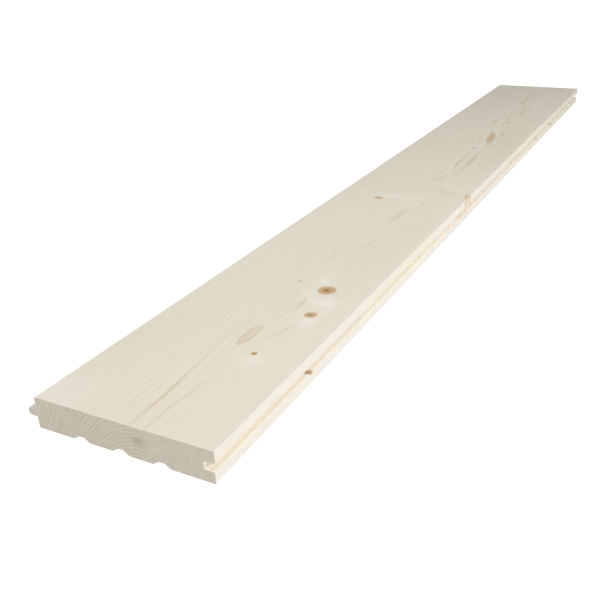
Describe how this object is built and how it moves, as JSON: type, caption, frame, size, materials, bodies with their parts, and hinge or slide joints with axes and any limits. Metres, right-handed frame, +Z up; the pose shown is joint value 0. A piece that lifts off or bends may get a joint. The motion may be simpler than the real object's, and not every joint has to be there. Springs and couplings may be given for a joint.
{
  "type": "floorboard",
  "caption": "Planed softwood floorboard with a tongue along one long edge, a groove along the other, relief grooves below and a torn-out spot in the groove's upper lip.",
  "frame": {"origin": "on the floor below the middle of the whole board, tongue included", "axes": "+Z up out of the walked face, +Y along the board, +X across it towards the groove"},
  "size_m": [0.144, 1.16, 0.023],
  "materials": {
    "spruce": "planed, unfinished"
  },
  "bodies": {
    "root": {"floorboard": "spruce"}
  },
  "joints": []
}
